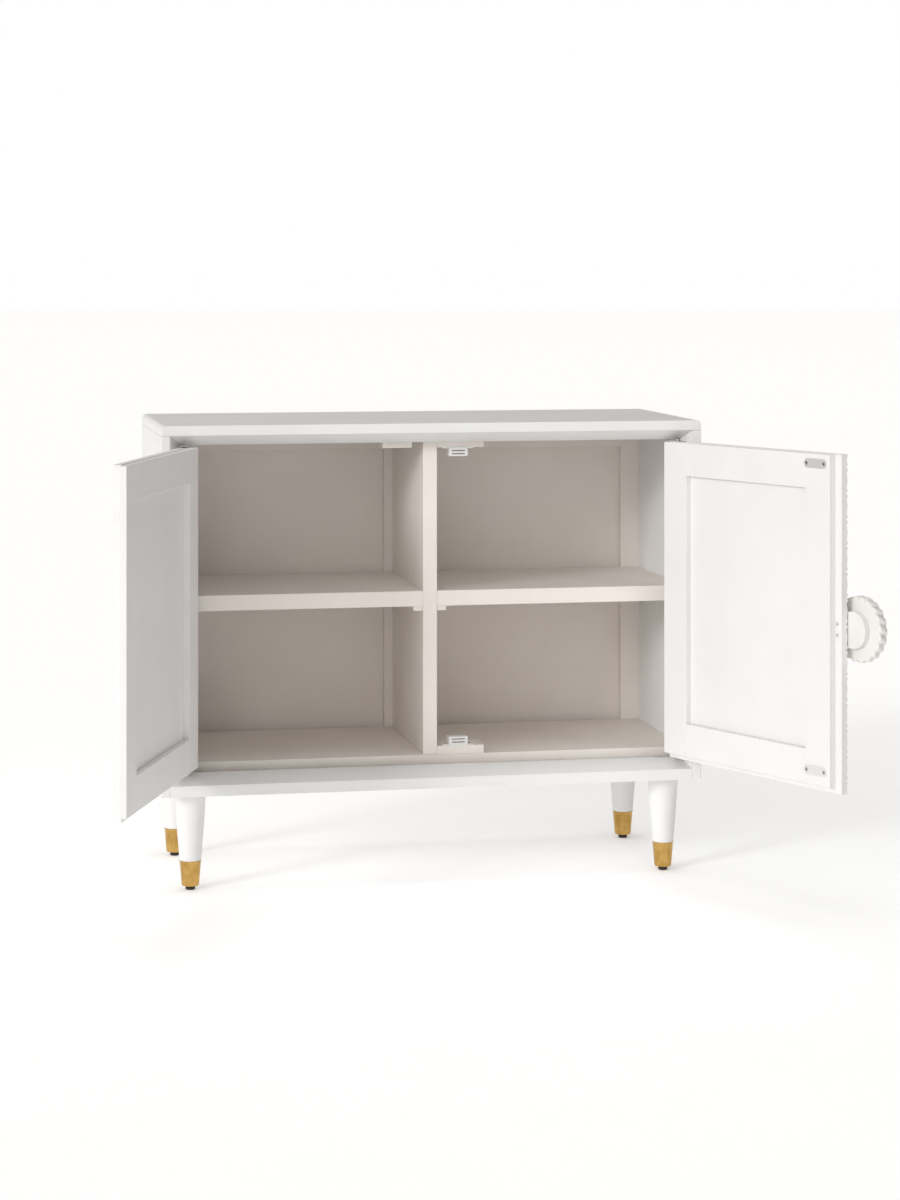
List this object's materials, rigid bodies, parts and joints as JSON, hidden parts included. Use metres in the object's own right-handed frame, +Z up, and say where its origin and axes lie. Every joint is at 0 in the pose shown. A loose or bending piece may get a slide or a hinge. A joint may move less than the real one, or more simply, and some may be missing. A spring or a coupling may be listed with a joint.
{
  "type": "apothecary cabinet",
  "caption": "Low painted wooden cabinet on turned legs, with two hinged doors, a scalloped round pull, a middle divider and shelves.",
  "frame": {"origin": "centre of the box round the whole cabinet with both doors open, on the floor", "axes": "+X to the right along the front, +Y from the front to the back, +Z up"},
  "size_m": [1.209, 0.7926, 0.77],
  "materials": {
    "paint": "painted eggshell",
    "inside_paint": "painted matte",
    "ferrule_brass": "satin",
    "steel": "satin",
    "catch_white": "gloss",
    "glide_black": "matte"
  },
  "bodies": {
    "carcass": {"top_board": "paint", "bottom_board": "paint", "left_side": "paint", "right_side": "paint", "top_moulding": "paint", "bottom_moulding": "paint", "left_moulding": "paint", "right_moulding": "paint", "floor_panel": "inside_paint", "floor_battens": "inside_paint", "divider": "inside_paint", "left_shelf": "inside_paint", "right_shelf": "inside_paint", "shelf_cleats": "inside_paint", "back_sheet": "inside_paint", "back_left_stile": "inside_paint", "back_centre_stile": "inside_paint", "back_right_stile": "inside_paint", "back_top_rail": "inside_paint", "top_catch_block": "inside_paint", "bottom_catch_block": "inside_paint", "top_catch": "catch_white", "bottom_catch": "catch_white", "left_stop_block": "inside_paint", "left_hinge_plates": "steel", "right_hinge_plates": "steel", "cabinet_screws": "steel", "front_left_leg": "paint", "front_right_leg": "paint", "back_left_leg": "paint", "back_right_leg": "paint", "front_left_ferrule": "ferrule_brass", "front_right_ferrule": "ferrule_brass", "back_left_ferrule": "ferrule_brass", "back_right_ferrule": "ferrule_brass", "leg_bolts": "steel", "leg_nuts": "steel"},
    "left_door": {"left_door_front": "paint", "left_door_hinge_stile": "paint", "left_door_free_stile": "paint", "left_door_top_rail": "paint", "left_door_bottom_rail": "paint", "left_door_lining": "paint", "left_hinge_leaves": "steel", "left_door_screws": "steel"},
    "right_door": {"right_door_front": "paint", "right_door_hinge_stile": "paint", "right_door_free_stile": "paint", "right_door_top_rail": "paint", "right_door_bottom_rail": "paint", "right_door_lining": "paint", "right_hinge_leaves": "steel", "right_door_screws": "steel", "strike_plates": "steel", "knob": "paint", "knob_screws": "steel"},
    "front_left_glide_foot": {"front_left_glide": "glide_black"},
    "front_right_glide_foot": {"front_right_glide": "glide_black"},
    "back_left_glide_foot": {"back_left_glide": "glide_black"},
    "back_right_glide_foot": {"back_right_glide": "glide_black"}
  },
  "joints": [
    {"name": "right_door_hinge", "type": "hinge", "parent": "carcass", "child": "right_door", "pos_m": [0.38102, 0.03877, 0.4665], "axis": [0, 0, 1], "range_deg": [-114.5, 5.5]},
    {"name": "left_door_hinge", "type": "hinge", "parent": "carcass", "child": "left_door", "pos_m": [-0.46298, 0.03877, 0.4665], "axis": [0, 0, 1], "range_deg": [-9.5, 110]},
    {"name": "front_left_glide_slide", "type": "slide", "parent": "carcass", "child": "front_left_glide_foot", "axis": [0, 0, -1], "range_m": [0, 0.008]},
    {"name": "front_right_glide_slide", "type": "slide", "parent": "carcass", "child": "front_right_glide_foot", "axis": [0, 0, -1], "range_m": [0, 0.008]},
    {"name": "back_left_glide_slide", "type": "slide", "parent": "carcass", "child": "back_left_glide_foot", "axis": [0, 0, -1], "range_m": [0, 0.008]},
    {"name": "back_right_glide_slide", "type": "slide", "parent": "carcass", "child": "back_right_glide_foot", "axis": [0, 0, -1], "range_m": [0, 0.008]}
  ]
}
